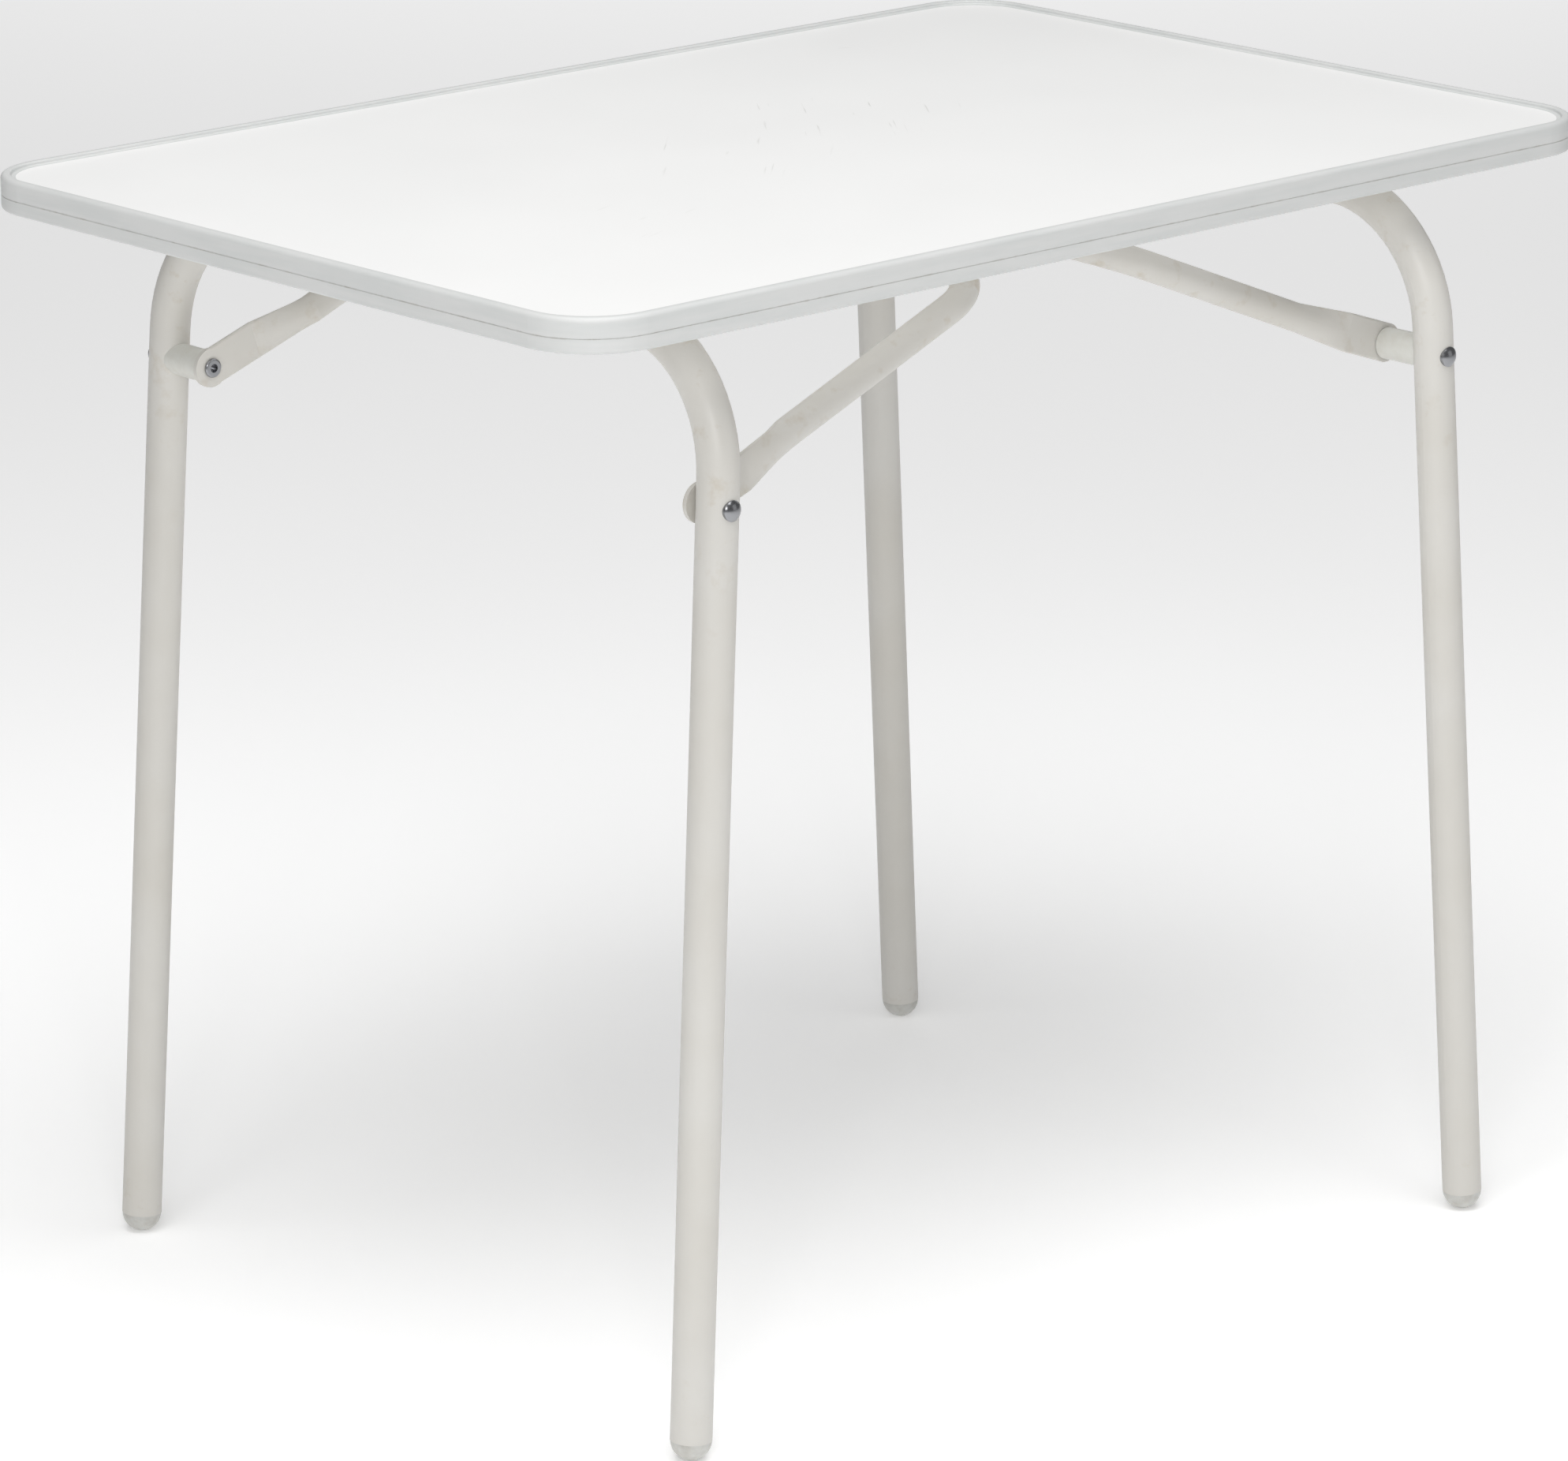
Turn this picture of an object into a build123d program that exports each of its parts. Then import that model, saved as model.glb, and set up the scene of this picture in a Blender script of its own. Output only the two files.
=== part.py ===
from build123d import *
import os
from math import acos, asin, atan2, cos, degrees, hypot, radians, sin, tan

os.makedirs("parts", exist_ok=True)

# Folding table: a rimmed board on two U-shaped tube leg frames, each held open by a
# U-shaped tube brace. +X runs along the table, +Z is up, the feet stand on z = 0.
# Frame a stands at the -X end. Frame b is the same set of pieces turned half a turn about Z.

# board
table_length = 840.0
table_width = 560.0
table_height = 700.0
corner_radius = 47.0
rim_height = 21.0
rim_width = 9.0
rim_lip = 2.5            # how far the rim stands above the board
rim_lip_width = 6.0
rim_top_round = 2.8
rim_inner_round = 1.2
rim_root_round = 1.1
rim_bottom_round = 2.0
rim_seam_drop = 12.0     # from the rim's top to its moulding line
rim_seam_size = 0.3
board_thickness = 16.0

# leg frames
leg_diameter = 25.0
leg_wall = 1.5
leg_half_spacing = 249.9   # at the pivot line
foot_half_spacing = 261.6
leg_splay = 3.59         # degrees, feet outwards along X
leg_bend_radius = 80.0
pivot_inset = 140.6      # from the board's end to the leg frame's pivot line
pivot_drop = 38.0        # from the rim's top down to the pivot line
side_gap = 1.7           # between the two frames' legs when they lie side by side

# feet
foot_diameter = 24.6
foot_stem_length = 22.0
foot_fit = 0.05

# rivets and spacers
rivet_drop = 95.7        # from the pivot line, along the leg
rivet_diameter = 8.0
rivet_head_diameter = 12.5
rivet_head_height = 3.2
rivet_head_edge = 0.6
rivet_clinch_diameter = 12.0
rivet_clinch_height = 1.6
rivet_bore_diameter = 5.4
spacer_diameter = 20.0
spacer_bore_fit = 0.1
lug_side_play = 0.45
lug_hole_fit = 0.05

# braces
brace_diameter = 18.0
brace_wall = 1.5
brace_bend_radius = 36.0
brace_rise = 21.9        # degrees, the arms' slope at rest
lug_rise = 19.0          # degrees, the flattened ends' slope at rest
lug_width = 24.5
lug_thickness = 3.0
lug_flat_length = 36.0
lug_taper_length = 41.0
arm_clearance = 0.6      # between a brace arm and the leg it folds beside
crossbar_inset = 370.0   # from the board's end to the crossbar

# leg clamps
clamp_half_spacing = 135.0
clamp_width = 24.0
clamp_wall = 4.0
clamp_fit = 0.06
clamp_ear_length = 17.0
clamp_ear_thickness = 5.0
clamp_corner_radius = 3.0

# crossbar clips
clip_half_spacing = 110.0
clip_width = 16.0
clip_wall = 2.6
clip_fit = 0.35
clip_wrap = 214.0        # degrees of the tube that the clip goes round
clip_mouth = -36.0       # degrees, the way the crossbar leaves
clip_neck = 9.0
clip_plate_length = 24.0
clip_plate_width = 46.0
clip_plate_thickness = 4.0
clip_corner_radius = 3.0
clip_screw_spacing = 32.0

# screws
screw_diameter = 4.0
screw_head_diameter = 8.0
screw_head_height = 2.6
screw_bite = 12.0
screw_fit = 0.2

# places worked out from the sizes above
board_top = table_height - rim_lip
board_bottom = board_top - board_thickness
leg_radius = leg_diameter / 2
brace_radius = brace_diameter / 2
frame_offset = (leg_diameter + side_gap) / 2
pivot_x = -(table_length / 2 - pivot_inset)
pivot_z = table_height - pivot_drop
splay = radians(leg_splay)
leg_up = Vector(sin(splay), 0, cos(splay))
leg_length = (pivot_z - foot_diameter / 2) / cos(splay)
leg_spread = (foot_half_spacing - leg_half_spacing) / leg_length
pivot = Vector(pivot_x, frame_offset, pivot_z)
rivet_point = pivot - leg_up * rivet_drop
rivet_radius = rivet_diameter / 2
rivet_half_spacing = leg_half_spacing + rivet_drop * leg_spread


# a leg frame is off the board's middle but its brace is not. The spacer on the outer
# rivet makes up the difference, and the brace lies straight against the inner leg
spacer_end = leg_radius + 2 * frame_offset
inner_leg_skin = rivet_half_spacing - frame_offset - leg_radius
lug_middle = inner_leg_skin - lug_side_play - lug_thickness / 2
arm_middle = inner_leg_skin - arm_clearance - brace_radius
crossbar_x = -(table_length / 2 - crossbar_inset)
lug_way = Vector(cos(radians(lug_rise)), 0, sin(radians(lug_rise)))
arm_way = Vector(cos(radians(brace_rise)), 0, sin(radians(brace_rise)))
lug_flat_end = rivet_point + lug_way * lug_flat_length
arm_start = lug_flat_end + (lug_way + arm_way).normalized() * lug_taper_length
crossbar_z = arm_start.Z + (crossbar_x - arm_start.X) * tan(radians(brace_rise))


def across(x, y, z):
    """A plane facing +Y through a point, with its x along +X."""
    return Plane(origin=(x, y, z), x_dir=(1, 0, 0), z_dir=(0, 1, 0))


def export(piece, name, turn=0, flip=False):
    placed = piece.part
    if flip:
        placed = mirror(placed, about=Plane(origin=(0, frame_offset, 0), z_dir=(0, 1, 0)))
    placed = placed.rotate(Axis.Z, turn)
    placed.label = name
    export_step(placed, "parts/" + name + ".step")


def screw_places():
    """Every screw's axis under the board, for the clamps and for the clips."""
    clamp_reach = leg_radius + clamp_wall + clamp_ear_length / 2
    clamps = []
    clips = []
    for end in (-1, 1):
        for side in (-1, 1):
            for step in (-1, 1):
                clamps.append((end * pivot_x + step * clamp_reach, side * clamp_half_spacing))
                clip_y = side * clip_half_spacing + step * clip_screw_spacing / 2
                clips.append((end * crossbar_x, clip_y))
    return clamps, clips


clamp_screws_at, clip_screws_at = screw_places()


# board and rim

with BuildPart() as board:
    with BuildSketch(Plane.XY.offset(board_bottom)):
        RectangleRounded(
            table_length - 2 * rim_width,
            table_width - 2 * rim_width,
            corner_radius - rim_width,
        )
    extrude(amount=board_thickness)
    with BuildSketch(Plane.XY.offset(board_bottom)):
        with Locations(*clamp_screws_at, *clip_screws_at):
            Circle(screw_diameter / 2)
    extrude(amount=screw_bite, mode=Mode.SUBTRACT)
export(board, "table_board")

with BuildPart() as rim:
    with BuildSketch(Plane.XY.offset(table_height - rim_height)):
        RectangleRounded(table_length, table_width, corner_radius)
    extrude(amount=rim_height)
    with BuildSketch(Plane.XY.offset(board_top)):
        RectangleRounded(
            table_length - 2 * rim_lip_width,
            table_width - 2 * rim_lip_width,
            corner_radius - rim_lip_width,
        )
    extrude(amount=rim_lip, mode=Mode.SUBTRACT)
    lip_top = rim.faces().sort_by(Axis.Z)[-1]
    fillet(lip_top.outer_wire().edges(), rim_top_round)
    fillet(rim.faces().sort_by(Axis.Z)[-1].inner_wires()[0].edges(), rim_inner_round)
    lip_root = rim.faces().filter_by(Plane.XY).sort_by(Axis.Z)[1]
    fillet(lip_root.outer_wire().edges(), rim_root_round)
    with BuildSketch(Plane.XY.offset(table_height - rim_height)):
        RectangleRounded(
            table_length - 2 * rim_width,
            table_width - 2 * rim_width,
            corner_radius - rim_width,
        )
    extrude(amount=rim_height, mode=Mode.SUBTRACT)
    fillet(rim.faces().sort_by(Axis.Z)[0].outer_wire().edges(), rim_bottom_round)
    with BuildSketch(Plane.XY.offset(table_height - rim_seam_drop - rim_seam_size / 2)):
        RectangleRounded(table_length + rim_width, table_width + rim_width, corner_radius)
        RectangleRounded(
            table_length - 2 * rim_seam_size,
            table_width - 2 * rim_seam_size,
            corner_radius - rim_seam_size,
            mode=Mode.SUBTRACT,
        )
    extrude(amount=rim_seam_size, mode=Mode.SUBTRACT)
export(rim, "edge_rim")


# leg frame: one tube bent into a U

leg_plane = Plane(origin=pivot, x_dir=(0, 1, 0), z_dir=(leg_up.Z, 0, -leg_up.X))

with BuildPart() as leg_frame:
    with BuildLine(leg_plane) as leg_route:
        FilletPolyline(
            (-foot_half_spacing, -leg_length),
            (-leg_half_spacing, 0),
            (leg_half_spacing, 0),
            (foot_half_spacing, -leg_length),
            radius=leg_bend_radius,
        )
    with BuildSketch(Plane(origin=leg_route.line @ 0, z_dir=leg_route.line % 0)):
        Circle(leg_radius)
        Circle(leg_radius - leg_wall, mode=Mode.SUBTRACT)
    sweep()
    with BuildSketch(across(rivet_point.X, rivet_point.Y, rivet_point.Z)):
        Circle(rivet_radius)
    extrude(amount=foot_half_spacing + leg_diameter, both=True, mode=Mode.SUBTRACT)


# the way the left leg runs, from its foot up
leg_axis = (leg_up - Vector(0, leg_spread, 0)).normalized()
leg_y = frame_offset + rivet_half_spacing
leg_end = pivot + Vector(0, foot_half_spacing, 0) - leg_up * leg_length
lug_stack = 2 * lug_side_play + lug_thickness


# the left leg's pieces. The right leg's are their mirror images

with BuildPart() as foot:
    with Locations(Plane(origin=leg_end, x_dir=(1, 0, 0), z_dir=leg_axis)):
        Sphere(
            foot_diameter / 2,
            arc_size1=-90,
            arc_size2=0,
            align=(Align.CENTER, Align.CENTER, Align.MAX),
        )
        Cylinder(
            leg_radius - leg_wall - foot_fit,
            foot_stem_length,
            align=(Align.CENTER, Align.CENTER, Align.MIN),
        )

with BuildPart() as leg_slug:
    with Locations(Plane(origin=(rivet_point.X, leg_y, rivet_point.Z), x_dir=(1, 0, 0), z_dir=leg_axis)):
        Cylinder(leg_radius, 4 * leg_diameter)

with BuildPart() as spacer:
    with BuildSketch(across(rivet_point.X, leg_y, rivet_point.Z)):
        Circle(spacer_diameter / 2)
        Circle(rivet_radius + spacer_bore_fit, mode=Mode.SUBTRACT)
    extrude(amount=-spacer_end)
    add(leg_slug.part, mode=Mode.SUBTRACT)

# semi-tubular rivets: domed head outside the leg, rolled-over end inside the brace. The one
# through the spacer is longer

head_sag = leg_radius - (leg_radius ** 2 - (rivet_head_diameter / 2) ** 2) ** 0.5
dome_rise = rivet_head_height - rivet_head_edge
dome_radius = (dome_rise ** 2 + (rivet_head_diameter / 2) ** 2) / (2 * dome_rise)
dome_y = leg_y + leg_radius + rivet_head_height - dome_radius

with BuildPart() as rivet_head:
    with BuildSketch(across(rivet_point.X, leg_y + leg_radius - head_sag, rivet_point.Z)):
        Circle(rivet_head_diameter / 2)
    extrude(amount=head_sag + rivet_head_height)
    with Locations((rivet_point.X, dome_y, rivet_point.Z)):
        Sphere(dome_radius, mode=Mode.INTERSECT)
    add(leg_slug.part, mode=Mode.SUBTRACT)


def build_rivet(reach):
    """The left leg's rivet, its rolled end starting that far in from the leg's centreline."""
    top_y = leg_y + leg_radius + rivet_head_height / 2
    roll_y = leg_y - reach
    with BuildPart() as rivet:
        add(rivet_head.part)
        with BuildSketch(across(rivet_point.X, top_y, rivet_point.Z)):
            Circle(rivet_radius)
        extrude(amount=roll_y - rivet_clinch_height / 2 - top_y)
        with BuildSketch(across(rivet_point.X, roll_y, rivet_point.Z)):
            Circle(rivet_clinch_diameter / 2)
        extrude(amount=-rivet_clinch_height)
        with BuildSketch(across(rivet_point.X, roll_y - rivet_clinch_height, rivet_point.Z)):
            Circle(rivet_bore_diameter / 2)
        extrude(amount=rivet_clinch_height + lug_thickness, mode=Mode.SUBTRACT)
        fillet(rivet.faces().sort_by(Axis.Y)[0].outer_wire().edges(), rivet_clinch_height * 0.8)
    return rivet


long_rivet = build_rivet(spacer_end + lug_stack)
short_rivet = build_rivet(leg_radius + lug_stack)


# brace: one tube bent into a U, its ends pressed flat and riveted to the legs

brace_corner_x = crossbar_x
brace_reach = hypot(brace_corner_x - arm_start.X, crossbar_z - arm_start.Z)
brace_plane = Plane(
    origin=(brace_corner_x, 0, crossbar_z),
    x_dir=(0, 1, 0),
    z_dir=(arm_way.Z, 0, -arm_way.X),
)

with BuildPart() as brace:
    with BuildLine(brace_plane) as brace_route:
        FilletPolyline(
            (-arm_middle, -brace_reach),
            (-arm_middle, 0),
            (arm_middle, 0),
            (arm_middle, -brace_reach),
            radius=brace_bend_radius,
        )
    with BuildSketch(Plane(origin=brace_route.line @ 0, z_dir=brace_route.line % 0)):
        Circle(brace_radius)
        Circle(brace_radius - brace_wall, mode=Mode.SUBTRACT)
    sweep()
    for side in (-1, 1):
        arm_y = side * arm_middle
        lug_y = side * lug_middle
        with BuildSketch(Plane(origin=(arm_start.X, arm_y, arm_start.Z), x_dir=(0, 1, 0), z_dir=arm_way)):
            Circle(brace_radius)
        flat_start = Plane(origin=(lug_flat_end.X, lug_y, lug_flat_end.Z), x_dir=(0, 1, 0), z_dir=lug_way)
        with BuildSketch(flat_start):
            SlotOverall(lug_width, lug_thickness, rotation=90)
        loft()
        flat_plane = Plane(
            origin=(rivet_point.X, lug_y, rivet_point.Z),
            x_dir=lug_way,
            z_dir=(0, 1, 0),
        )
        with BuildSketch(flat_plane):
            Circle(lug_width / 2)
            with Locations((lug_flat_length / 2, 0)):
                Rectangle(lug_flat_length, lug_width - lug_thickness)
            Circle(rivet_radius + lug_hole_fit, mode=Mode.SUBTRACT)
        extrude(amount=lug_thickness / 2, both=True)
        for edge in (-1, 1):
            rounded = Plane(
                origin=Vector(rivet_point.X, lug_y, rivet_point.Z)
                + Vector(-lug_way.Z, 0, lug_way.X) * (edge * (lug_width - lug_thickness) / 2),
                x_dir=(0, 1, 0),
                z_dir=lug_way,
            )
            with BuildSketch(rounded):
                Circle(lug_thickness / 2)
            extrude(amount=lug_flat_length)


def build_clamp(end, side):
    """Plastic bearing screwed under the board, with the leg frame's top tube through it."""
    x = end * pivot_x
    bore = leg_radius + clamp_fit
    body = leg_radius + clamp_wall
    y = side * clamp_half_spacing
    with BuildPart() as clamp:
        with BuildSketch(across(x, y, pivot_z)):
            Circle(body)
            with Locations((0, -(board_bottom - pivot_z) / 2)):
                Rectangle(2 * body, board_bottom - pivot_z)
            with Locations((0, -(board_bottom - pivot_z - clamp_ear_thickness / 2))):
                Rectangle(2 * (body + clamp_ear_length), clamp_ear_thickness)
        extrude(amount=clamp_width / 2, both=True)
        corners = clamp.edges().filter_by(Axis.Z).group_by(Axis.X)
        fillet(corners[0] + corners[-1], clamp_corner_radius)
        with BuildSketch(across(x, y, pivot_z)):
            Circle(bore)
        extrude(amount=clamp_width, both=True, mode=Mode.SUBTRACT)
        with BuildSketch(Plane.XY.offset(board_bottom - clamp_ear_thickness)):
            with Locations(*[(x + s * (body + clamp_ear_length / 2), y) for s in (-1, 1)]):
                Circle(screw_diameter / 2 + screw_fit)
        extrude(amount=clamp_ear_thickness, mode=Mode.SUBTRACT)
    return clamp


def build_clip(side):
    """Plastic snap clip for one brace's crossbar, with its mouth the way the bar leaves."""
    inner = brace_radius + clip_fit
    outer = inner + clip_wall
    y = side * clip_half_spacing
    gap_half = 180 - clip_wrap / 2
    with BuildPart() as clip:
        with BuildSketch(across(crossbar_x, y, crossbar_z)):
            Circle(outer)
            with Locations((0, -(board_bottom - crossbar_z) / 2)):
                Rectangle(clip_neck, board_bottom - crossbar_z)
            Circle(inner, mode=Mode.SUBTRACT)
            with BuildLine():
                mouth = [
                    (3 * outer * cos(radians(-clip_mouth + turn)), 3 * outer * sin(radians(-clip_mouth + turn)))
                    for turn in (-gap_half, 0, gap_half)
                ]
                Polyline((0, 0), *mouth, close=True)
            make_face(mode=Mode.SUBTRACT)
        extrude(amount=clip_width / 2, both=True)
        with BuildSketch(Plane.XY.offset(board_bottom - clip_plate_thickness)):
            with Locations((crossbar_x, y)):
                RectangleRounded(clip_plate_length, clip_plate_width, clip_corner_radius)
            with Locations(*[(crossbar_x, y + s * clip_screw_spacing / 2) for s in (-1, 1)]):
                Circle(screw_diameter / 2 + screw_fit, mode=Mode.SUBTRACT)
        extrude(amount=clip_plate_thickness)
    return clip


def build_screws(places, seat_z):
    """Pan-head screws driven up into the board from the seat's height."""
    with BuildPart() as screws:
        with BuildSketch(Plane.XY.offset(seat_z - screw_head_height)):
            with Locations(*places):
                Circle(screw_head_diameter / 2)
        extrude(amount=screw_head_height)
        fillet(screws.faces().group_by(Axis.Z)[0].edges(), screw_head_height * 0.6)
        with BuildSketch(Plane.XY.offset(seat_z)):
            with Locations(*places):
                Circle(screw_diameter / 2)
        extrude(amount=board_bottom + screw_bite - seat_z)
    return screws


sides = {"left": 1, "right": -1}     # a frame's own left and right, looking in from its end

for frame, turn in (("a", 0), ("b", 180)):
    export(leg_frame, "leg_frame_" + frame, turn)
    export(brace, "brace_" + frame, turn)
    export(spacer, "spacer_" + frame, turn)
    export(long_rivet, "rivet_" + frame + "_left", turn)
    export(short_rivet, "rivet_" + frame + "_right", turn, True)
    for name, side in sides.items():
        export(foot, "foot_" + frame + "_" + name, turn, side < 0)
        export(build_clamp(1, side), "leg_clamp_" + frame + "_" + name, turn)
        export(build_clip(side), "brace_clip_" + frame + "_" + name, turn)

export(build_screws(clamp_screws_at, board_bottom - clamp_ear_thickness), "clamp_screws")
export(build_screws(clip_screws_at, board_bottom - clip_plate_thickness), "clip_screws")

# the swing that carries a brace from its rest slope to lie along its folded leg
chord_rise = degrees(atan2(crossbar_z - rivet_point.Z, crossbar_x - rivet_point.X))
print("rivet at", rivet_point, "crossbar at", crossbar_x, crossbar_z, "chord rise", round(chord_rise, 3))
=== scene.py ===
import math

import bmesh
import bpy
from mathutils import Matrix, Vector

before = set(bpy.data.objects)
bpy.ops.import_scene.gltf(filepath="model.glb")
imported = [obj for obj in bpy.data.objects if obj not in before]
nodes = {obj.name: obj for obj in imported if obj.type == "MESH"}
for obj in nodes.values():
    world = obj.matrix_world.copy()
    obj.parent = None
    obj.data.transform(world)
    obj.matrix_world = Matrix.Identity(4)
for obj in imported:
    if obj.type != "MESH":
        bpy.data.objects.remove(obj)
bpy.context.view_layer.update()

scene = bpy.context.scene
print("frame loaded:", len(nodes), "nodes")


def linear(hexColour):
    # sRGB hex to the linear colour the shader wants
    parts = [int(hexColour[i:i + 2], 16) / 255 for i in (1, 3, 5)]
    return tuple(p / 12.92 if p <= 0.04045 else ((p + 0.055) / 1.055) ** 2.4 for p in parts) + (1.0,)


def addNode(tree, kind, settings=None, links=None):
    # a node with its values, and its inputs fed from (node, output) pairs
    node = tree.nodes.new(kind)
    for key, value in (settings or {}).items():
        if isinstance(key, int) or key in node.inputs:
            node.inputs[key].default_value = value
        else:
            setattr(node, key, value)
    for key, (source, output) in (links or {}).items():
        tree.links.new(source.outputs[output], node.inputs[key])
    return node


def newMaterial(name, shaderSettings):
    material = bpy.data.materials.new(name)
    material.use_nodes = True
    tree = material.node_tree
    tree.nodes.clear()
    shader = addNode(tree, "ShaderNodeBsdfPrincipled", shaderSettings)
    addNode(tree, "ShaderNodeOutputMaterial", {}, {"Surface": (shader, "BSDF")})
    place = addNode(tree, "ShaderNodeTexCoord")
    return material, tree, shader, place


def ramp(tree, source, output, stops):
    # a colour ramp with (position, colour) stops; a number stands for a grey
    node = addNode(tree, "ShaderNodeValToRGB", {}, {"Fac": (source, output)})
    elements = node.color_ramp.elements
    while len(elements) < len(stops):
        elements.new(0.5)
    for element, (position, colour) in zip(elements, stops):
        element.position = position
        element.color = (colour, colour, colour, 1) if isinstance(colour, (int, float)) else colour
    return node


def mixColour(tree, factor, base, over):
    # factor is (node, output); base and over are colours or (node, output)
    node = addNode(tree, "ShaderNodeMix", {"data_type": "RGBA"})
    tree.links.new(factor[0].outputs[factor[1]], node.inputs[0])
    for socket, value in ((6, base), (7, over)):
        if isinstance(value[0], bpy.types.Node):
            tree.links.new(value[0].outputs[value[1]], node.inputs[socket])
        else:
            node.inputs[socket].default_value = value
    return node


def perMillimetre(size):
    # noise scale for a feature that many millimetres across
    return 1000 / size


# powder coat: polyester powder baked on steel tube. Soft satin, a faint orange peel, and a
# little handling dirt that has browned near the bends, mixed with painted shade that darkens the tubes
# towards the board
powderCoat = {
    "colour": "#d1cfca",
    "shade": "#ccc9c2",
    # brown for dirt, also used as painted shade high on the tubes under the board
    "dirtAndShade": "#a8946f",
    "roughness": 0.42,
    "peelSize": 2.4,        # mm, drawn coarser than the real 1 mm so that it shows
    "patchSize": 90,        # mm
    "dirtAndShadeSpotSize": 16,         # mm
    "dirtAndShadeBand": (0.44, 0.66),   # m above the floor, up to where the tubes bend under the board; dirt with painted shade, darkest at the top
    "bandDirtAndShade": 0.42,
    "footReach": 0.07,      # m above the floor, scuffed by shoes
    "footDirt": 0.35,
    "peelBump": 0.22,
    "peelDepth": 0.00012,   # m
}


def makePowderCoat():
    p = powderCoat
    material, tree, shader, place = newMaterial("polyesterPowderCoat", {
        "Roughness": p["roughness"], "IOR": 1.5, "Coat Weight": 0.12, "Coat Roughness": 0.25,
    })
    patches = addNode(tree, "ShaderNodeTexNoise",
                      {"Scale": perMillimetre(p["patchSize"]), "Detail": 3.0},
                      {"Vector": (place, "Object")})
    patchFade = ramp(tree, patches, "Fac", [(0.35, 0.0), (0.65, 1.0)])
    base = mixColour(tree, (patchFade, "Color"), linear(p["colour"]), linear(p["shade"]))
    spots = addNode(tree, "ShaderNodeTexNoise",
                    {"Scale": perMillimetre(p["dirtAndShadeSpotSize"]), "Detail": 5.0, "Roughness": 0.62},
                    {"Vector": (place, "Object")})
    spotFade = ramp(tree, spots, "Fac", [(0.56, 0.0), (0.74, 1.0)])
    height = addNode(tree, "ShaderNodeSeparateXYZ", {}, {"Vector": (place, "Object")})
    low, high = p["dirtAndShadeBand"]
    # painted shade as well as dirt: the brown spots grow up the band towards the board underside, where the
    # board's shade falls
    band = addNode(tree, "ShaderNodeMapRange", {"From Min": low, "From Max": high, "To Max": p["bandDirtAndShade"]},
                   {"Value": (height, "Z")})
    foot = addNode(tree, "ShaderNodeMapRange",
                   {"From Min": p["footReach"], "From Max": 0.0, "To Min": 0.0, "To Max": p["footDirt"]},
                   {"Value": (height, "Z")})
    where = addNode(tree, "ShaderNodeMath", {"operation": "MAXIMUM"})
    tree.links.new(band.outputs["Result"], where.inputs[0])
    tree.links.new(foot.outputs["Result"], where.inputs[1])
    darkeningMask = addNode(tree, "ShaderNodeMath", {"operation": "MULTIPLY"})
    tree.links.new(spotFade.outputs["Color"], darkeningMask.inputs[0])
    tree.links.new(where.outputs["Value"], darkeningMask.inputs[1])
    # mixes in the brown: dirt near the floor, and dirt with painted shade under the board
    colour = mixColour(tree, (darkeningMask, "Value"), (base, 2), linear(p["dirtAndShade"]))
    tree.links.new(colour.outputs[2], shader.inputs["Base Color"])
    rough = addNode(tree, "ShaderNodeMapRange",
                    {"To Min": p["roughness"] - 0.05, "To Max": p["roughness"] + 0.07},
                    {"Value": (patches, "Fac")})
    tree.links.new(rough.outputs["Result"], shader.inputs["Roughness"])
    peel = addNode(tree, "ShaderNodeTexNoise",
                   {"Scale": perMillimetre(p["peelSize"]), "Detail": 1.0}, {"Vector": (place, "Object")})
    bump = addNode(tree, "ShaderNodeBump", {"Strength": p["peelBump"], "Distance": p["peelDepth"]},
                   {"Height": (peel, "Fac")})
    tree.links.new(bump.outputs["Normal"], shader.inputs["Normal"])
    return material


# melamine foil on board: hard and satin, pressed against a finely pebbled plate. Use leaves
# thin hairline scratches that catch dirt, and a few duller rubbed patches
melamineBoard = {
    "colour": "#f6f6f5",
    "scratchColour": "#cfcfcb",
    "roughness": 0.36,
    "pebbleSize": 1.6,      # mm
    "pebbleBump": 0.10,
    "pebbleDepth": 0.00008,     # m
    "rubbedSize": 140,      # mm
    "topHeight": 0.6975,    # m above the floor
    # where things were dragged: centre x, y and reach in m, and the way they run in degrees
    "scuffs": [
        {"at": (0.085, 0.045), "reach": 0.085, "turn": 52, "width": 0.6},
        {"at": (-0.055, 0.010), "reach": 0.075, "turn": 44, "width": 0.8},
        {"at": (0.225, 0.215), "reach": 0.030, "turn": -20, "width": 0.9},
        {"at": (-0.215, -0.090), "reach": 0.050, "turn": 20, "width": 0.7},
    ],
}


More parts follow.
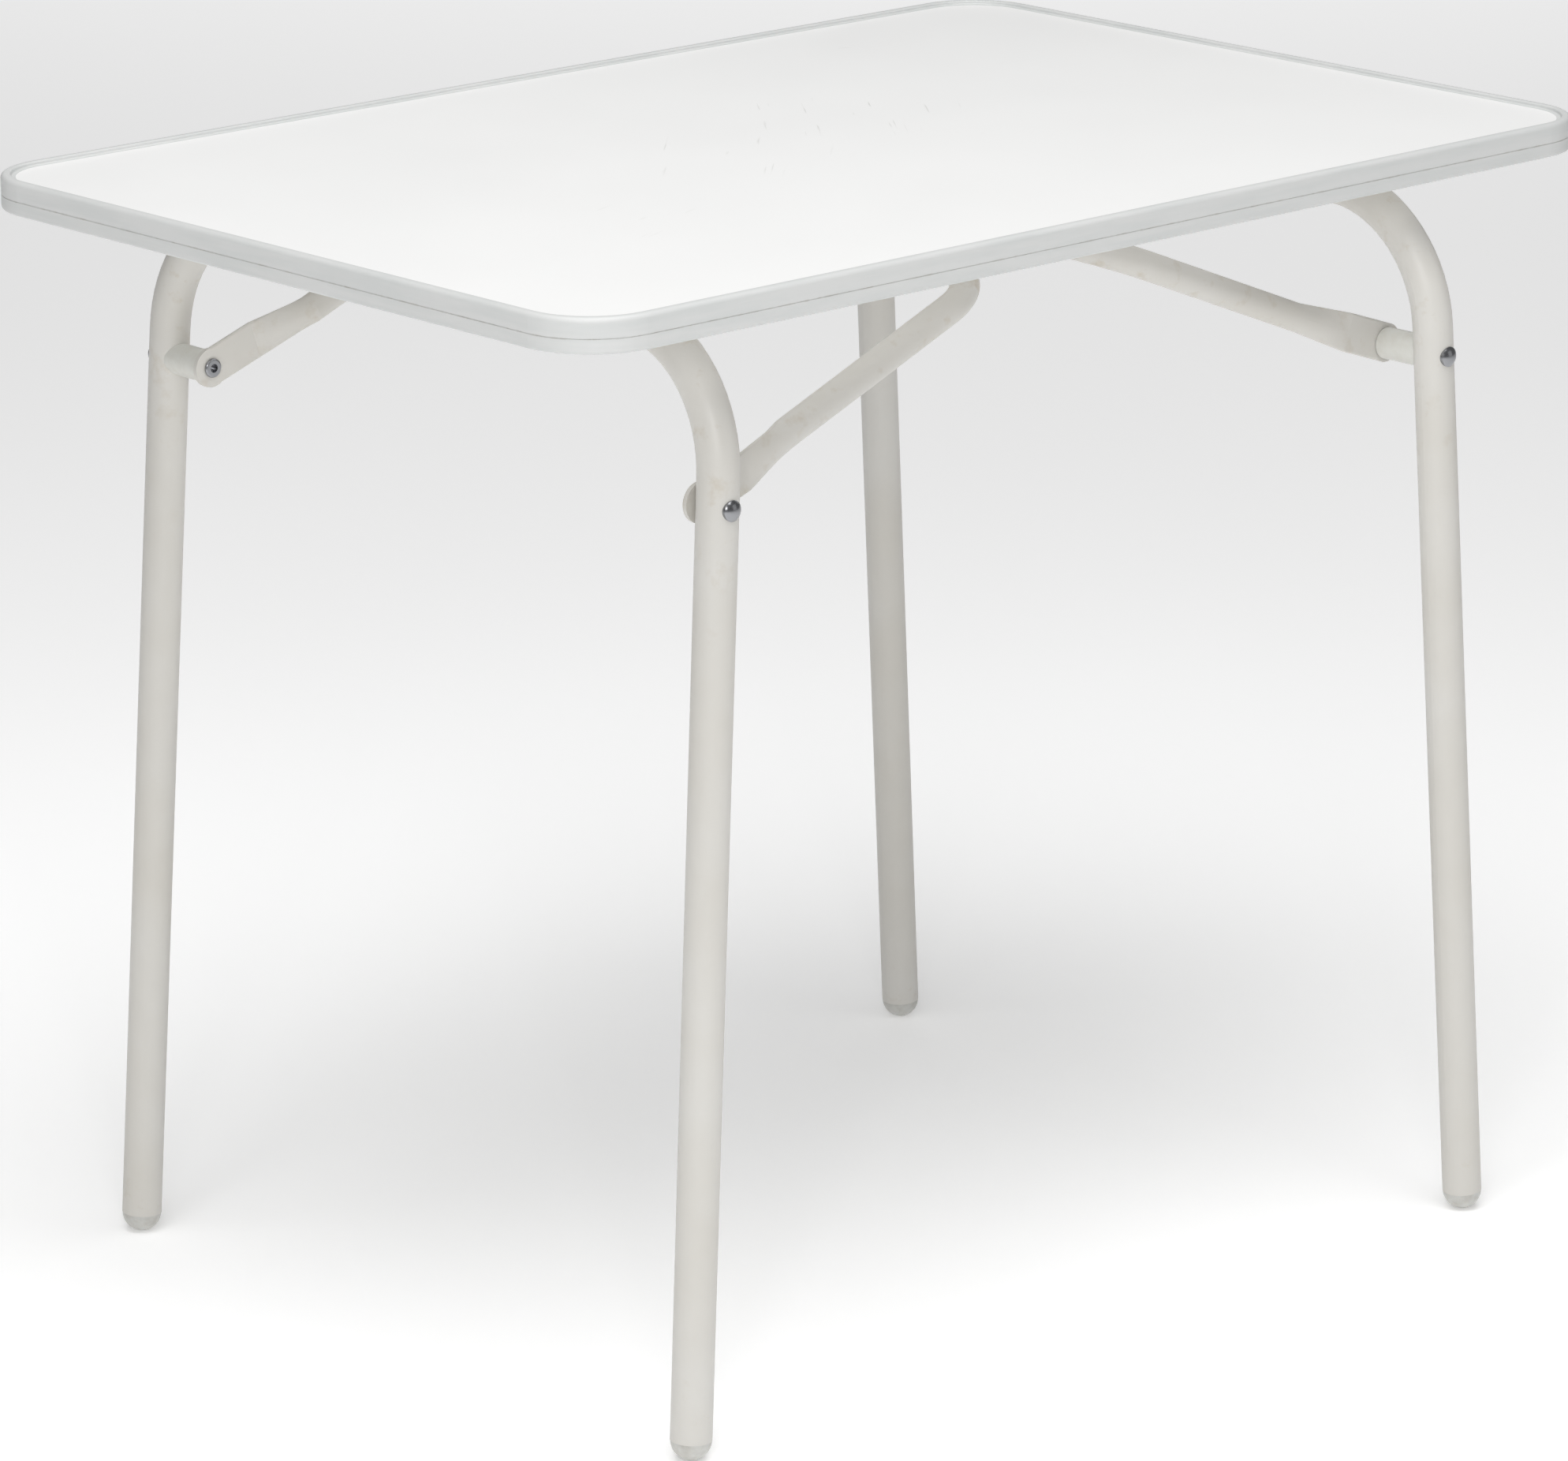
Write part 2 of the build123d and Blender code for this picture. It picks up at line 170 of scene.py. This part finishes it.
def makeMelamineBoard():
    p = melamineBoard
    material, tree, shader, place = newMaterial("melamineFacedBoard", {
        "Roughness": p["roughness"], "IOR": 1.52,
    })
    marks = None
    for scuff in p["scuffs"]:
        x, y = scuff["at"]
        across = perMillimetre(scuff["width"] * 6)
        turned = addNode(tree, "ShaderNodeMapping",
                         {"vector_type": "TEXTURE", "Location": (x, y, p["topHeight"]),
                          "Rotation": (0, 0, math.radians(scuff["turn"]))},
                         {"Vector": (place, "Object")})
        fade = addNode(tree, "ShaderNodeVectorMath", {"operation": "LENGTH"}, {0: (turned, "Vector")})
        near = addNode(tree, "ShaderNodeMapRange",
                       {"From Min": scuff["reach"], "From Max": scuff["reach"] * 0.3},
                       {"Value": (fade, "Value")})
        stretched = addNode(tree, "ShaderNodeMapping", {"Scale": (across * 0.045, across, across * 0.045)},
                            {"Vector": (turned, "Vector")})
        hairs = addNode(tree, "ShaderNodeTexNoise", {"Scale": 1.0, "Detail": 2.0, "Roughness": 0.55},
                        {"Vector": (stretched, "Vector")})
        thin = ramp(tree, hairs, "Fac", [(0.66, 0.0), (0.72, 1.0)])
        one = addNode(tree, "ShaderNodeMath", {"operation": "MULTIPLY"})
        tree.links.new(thin.outputs["Color"], one.inputs[0])
        tree.links.new(near.outputs["Result"], one.inputs[1])
        if marks is None:
            marks = one
        else:
            both = addNode(tree, "ShaderNodeMath", {"operation": "MAXIMUM"})
            tree.links.new(marks.outputs["Value"], both.inputs[0])
            tree.links.new(one.outputs["Value"], both.inputs[1])
            marks = both
    rubbed = addNode(tree, "ShaderNodeTexNoise",
                     {"Scale": perMillimetre(p["rubbedSize"]), "Detail": 4.0, "Roughness": 0.6},
                     {"Vector": (place, "Object")})
    colour = mixColour(tree, (marks, "Value"), linear(p["colour"]), linear(p["scratchColour"]))
    tree.links.new(colour.outputs[2], shader.inputs["Base Color"])
    rough = addNode(tree, "ShaderNodeMapRange",
                    {"To Min": p["roughness"] - 0.06, "To Max": p["roughness"] + 0.10},
                    {"Value": (rubbed, "Fac")})
    tree.links.new(rough.outputs["Result"], shader.inputs["Roughness"])
    pebble = addNode(tree, "ShaderNodeTexNoise",
                     {"Scale": perMillimetre(p["pebbleSize"]), "Detail": 2.0},
                     {"Vector": (place, "Object")})
    bump = addNode(tree, "ShaderNodeBump", {"Strength": p["pebbleBump"], "Distance": p["pebbleDepth"]},
                   {"Height": (pebble, "Fac")})
    tree.links.new(bump.outputs["Normal"], shader.inputs["Normal"])
    return material


# polypropylene edge: injection moulded, cooler than the board, slightly waxy, with faint flow
# marks along it and specks of flash and dirt in the moulding line
polypropyleneRim = {
    "colour": "#d3d4d3",
    "flow": "#ced0cf",
    "lineDirt": "#b8b6b0",
    "roughness": 0.46,
    "seamHeight": 0.688,    # m above the floor
    "seamReach": 0.0009,    # m
    "seamDirt": 0.9,
    "speckSize": 9,         # mm
    "flowScale": (14, 14, 160),     # marks run level, so they are fine in height
    "grainSize": 1.8,       # mm
    "grainBump": 0.14,
    "grainDepth": 0.0001,   # m
}


def makePolypropyleneRim():
    p = polypropyleneRim
    material, tree, shader, place = newMaterial("mouldedPolypropylene", {
        "Roughness": p["roughness"], "IOR": 1.49,
        "Subsurface Weight": 0.06, "Subsurface Radius": (0.004, 0.004, 0.004), "Subsurface Scale": 1.0,
    })
    stretched = addNode(tree, "ShaderNodeMapping", {"Scale": p["flowScale"]},
                        {"Vector": (place, "Object")})
    flow = addNode(tree, "ShaderNodeTexNoise", {"Scale": 1.0, "Detail": 3.0},
                   {"Vector": (stretched, "Vector")})
    flowFade = ramp(tree, flow, "Fac", [(0.4, 0.0), (0.62, 1.0)])
    base = mixColour(tree, (flowFade, "Color"), linear(p["colour"]), linear(p["flow"]))
    height = addNode(tree, "ShaderNodeSeparateXYZ", {}, {"Vector": (place, "Object")})
    away = addNode(tree, "ShaderNodeMath", {"operation": "SUBTRACT", 1: p["seamHeight"]},
                   {0: (height, "Z")})
    far = addNode(tree, "ShaderNodeMath", {"operation": "ABSOLUTE"}, {0: (away, "Value")})
    near = addNode(tree, "ShaderNodeMapRange",
                   {"From Min": p["seamReach"], "From Max": 0.0, "To Max": p["seamDirt"]},
                   {"Value": (far, "Value")})
    specks = addNode(tree, "ShaderNodeTexNoise",
                     {"Scale": perMillimetre(p["speckSize"]), "Detail": 6.0, "Roughness": 0.75},
                     {"Vector": (place, "Object")})
    speckFade = ramp(tree, specks, "Fac", [(0.46, 0.15), (0.66, 1.0)])
    darkeningMask = addNode(tree, "ShaderNodeMath", {"operation": "MULTIPLY"})
    tree.links.new(near.outputs["Result"], darkeningMask.inputs[0])
    tree.links.new(speckFade.outputs["Color"], darkeningMask.inputs[1])
    colour = mixColour(tree, (darkeningMask, "Value"), (base, 2), linear(p["lineDirt"]))
    tree.links.new(colour.outputs[2], shader.inputs["Base Color"])
    grain = addNode(tree, "ShaderNodeTexNoise",
                    {"Scale": perMillimetre(p["grainSize"]), "Detail": 2.0},
                    {"Vector": (place, "Object")})
    bump = addNode(tree, "ShaderNodeBump", {"Strength": p["grainBump"], "Distance": p["grainDepth"]},
                   {"Height": (grain, "Fac")})
    tree.links.new(bump.outputs["Normal"], shader.inputs["Normal"])
    return material


# plain moulded plastics: smooth and a little translucent, with a very faint mottle
mouldedPlastics = {
    "spacer": {
        "name": "mouldedPolyethylene", "colour": "#d6d6d0", "mottle": "#d1d0c9",
        "roughness": 0.38, "glow": 0.06, "grain": 0.05,
    },
    "foot": {
        "name": "lowDensityPolyethylene", "colour": "#c6c6c2", "mottle": "#b8b6b0",
        "roughness": 0.36, "glow": 0.22, "grain": 0.16,
    },
    "clamp": {
        "name": "mouldedNylon", "colour": "#e6e5df", "mottle": "#dcdbd3",
        "roughness": 0.40, "glow": 0.08, "grain": 0.08,
    },
}


# shared by all of the moulded plastics
mouldedSurface = {
    "mottleSize": 7,        # mm
    "mottleDepth": 0.00015,     # m
}


def makeMouldedPlastic(p):
    material, tree, shader, place = newMaterial(p["name"], {
        "Roughness": p["roughness"], "IOR": 1.5,
        "Subsurface Weight": p["glow"], "Subsurface Radius": (0.004, 0.0035, 0.003), "Subsurface Scale": 1.0,
    })
    mottle = addNode(tree, "ShaderNodeTexNoise",
                     {"Scale": perMillimetre(mouldedSurface["mottleSize"]), "Detail": 4.0, "Roughness": 0.6},
                     {"Vector": (place, "Object")})
    fade = ramp(tree, mottle, "Fac", [(0.4, 0.0), (0.68, 1.0)])
    colour = mixColour(tree, (fade, "Color"), linear(p["colour"]), linear(p["mottle"]))
    tree.links.new(colour.outputs[2], shader.inputs["Base Color"])
    bump = addNode(tree, "ShaderNodeBump",
                   {"Strength": p["grain"], "Distance": mouldedSurface["mottleDepth"]},
                   {"Height": (mottle, "Fac")})
    tree.links.new(bump.outputs["Normal"], shader.inputs["Normal"])
    return material


# plated steels: bright nickel on the rivets, duller zinc on the screws
platedSteels = {
    "rivet": {"name": "nickelPlatedSteel", "colour": "#97989b", "rough": (0.14, 0.30)},
    "screw": {"name": "zincPlatedSteel", "colour": "#b9bcc0", "rough": (0.28, 0.45)},
}


# shared by both plated steels
platedSurface = {
    "wearSize": 2.5,        # mm
    "wearBump": 0.25,
    "wearDepth": 0.00006,   # m
}


def makePlatedSteel(p):
    material, tree, shader, place = newMaterial(p["name"], {
        "Metallic": 1.0, "Base Color": linear(p["colour"]),
    })
    wear = addNode(tree, "ShaderNodeTexNoise",
                   {"Scale": perMillimetre(platedSurface["wearSize"]), "Detail": 5.0, "Roughness": 0.65},
                   {"Vector": (place, "Object")})
    rough = addNode(tree, "ShaderNodeMapRange", {"To Min": p["rough"][0], "To Max": p["rough"][1]},
                    {"Value": (wear, "Fac")})
    tree.links.new(rough.outputs["Result"], shader.inputs["Roughness"])
    bump = addNode(tree, "ShaderNodeBump",
                   {"Strength": platedSurface["wearBump"], "Distance": platedSurface["wearDepth"]},
                   {"Height": (wear, "Fac")})
    tree.links.new(bump.outputs["Normal"], shader.inputs["Normal"])
    return material


finishes = {
    "table_board": makeMelamineBoard(),
    "edge_rim": makePolypropyleneRim(),
    "leg_frame": makePowderCoat(),
    "foot": makeMouldedPlastic(mouldedPlastics["foot"]),
    "spacer": makeMouldedPlastic(mouldedPlastics["spacer"]),
    "leg_clamp": makeMouldedPlastic(mouldedPlastics["clamp"]),
    "rivet": makePlatedSteel(platedSteels["rivet"]),
    "clamp_screws": makePlatedSteel(platedSteels["screw"]),
}
finishes["brace_clip"] = finishes["leg_clamp"]
finishes["clip_screws"] = finishes["clamp_screws"]
finishes["brace"] = finishes["leg_frame"]
for name, node in nodes.items():
    start = max((key for key in finishes if name.startswith(key)), key=len)
    node.data.materials.clear()
    node.data.materials.append(finishes[start])
print("finishes set on", len(nodes), "nodes")


# floor, lights and camera
studio = {
    "floorColour": "#ffffff",
    "floorGlow": 0.22,      # keeps the paper floor clean of grey away from the lamps
    "floorReach": 14.0,
    "skyColour": "#ffffff",
    "skyStrength": 0.20,
    "lamps": [
        # name, where, aimed at, width, height, watts
        ("overhead", (-0.6, -0.8, 3.4), (0, 0, 0.6), 3.0, 2.4, 84),
        ("leftFront", (-3.2, -1.6, 1.9), (0, 0, 0.45), 2.2, 2.4, 14),
        ("rightFront", (1.8, -3.4, 1.6), (0, 0, 0.45), 2.2, 2.2, 6),
        ("backdrop", (4.6, 4.8, 3.2), (5.0, 5.2, 0), 5.0, 5.0, 85),
        ("key", (-2.5, -2.6, 1.9), (0, 0, 0.45), 1.1, 1.1, 29),
    ],
}

floorMesh = bmesh.new()
bmesh.ops.create_grid(floorMesh, x_segments=1, y_segments=1, size=studio["floorReach"])
floorData = bpy.data.meshes.new("floor")
floorMesh.to_mesh(floorData)
floorMesh.free()
floor = bpy.data.objects.new("floor", floorData)
scene.collection.objects.link(floor)
floorFinish = newMaterial("mattePaper", {
    "Base Color": linear(studio["floorColour"]), "Roughness": 0.9, "Specular IOR Level": 0.1,
    "Emission Color": linear(studio["floorColour"]), "Emission Strength": studio["floorGlow"],
})[0]
floorData.materials.append(floorFinish)

world = bpy.data.worlds.new("studio")
scene.world = world
world.use_nodes = True
background = world.node_tree.nodes["Background"]
background.inputs["Color"].default_value = linear(studio["skyColour"])
background.inputs["Strength"].default_value = studio["skyStrength"]

for name, where, target, width, height, watts in studio["lamps"]:
    lampData = bpy.data.lights.new(name, "AREA")
    lampData.shape = "RECTANGLE"
    lampData.size = width
    lampData.size_y = height
    lampData.energy = watts
    lamp = bpy.data.objects.new(name, lampData)
    lamp.location = where
    lamp.rotation_euler = (Vector(target) - Vector(where)).to_track_quat("-Z", "Y").to_euler()
    scene.collection.objects.link(lamp)

view = {
    "place": (-2.8299, -3.0645, 1.5647),
    "yaw": 43.389,          # degrees from +Y towards +X
    "pitch": 16.809,        # degrees down
    "lens": 159.57,
    "shift": (-0.0618, 0.0198),
}
cameraData = bpy.data.cameras.new("camera")
cameraData.sensor_width = 36
cameraData.lens = view["lens"]
cameraData.shift_x, cameraData.shift_y = view["shift"]
cameraData.clip_end = 60
camera = bpy.data.objects.new("camera", cameraData)
camera.location = view["place"]
camera.rotation_euler = (math.radians(90 - view["pitch"]), 0, -math.radians(view["yaw"]))
scene.collection.objects.link(camera)
scene.camera = camera
scene.view_settings.view_transform = "Standard"
print("studio set")
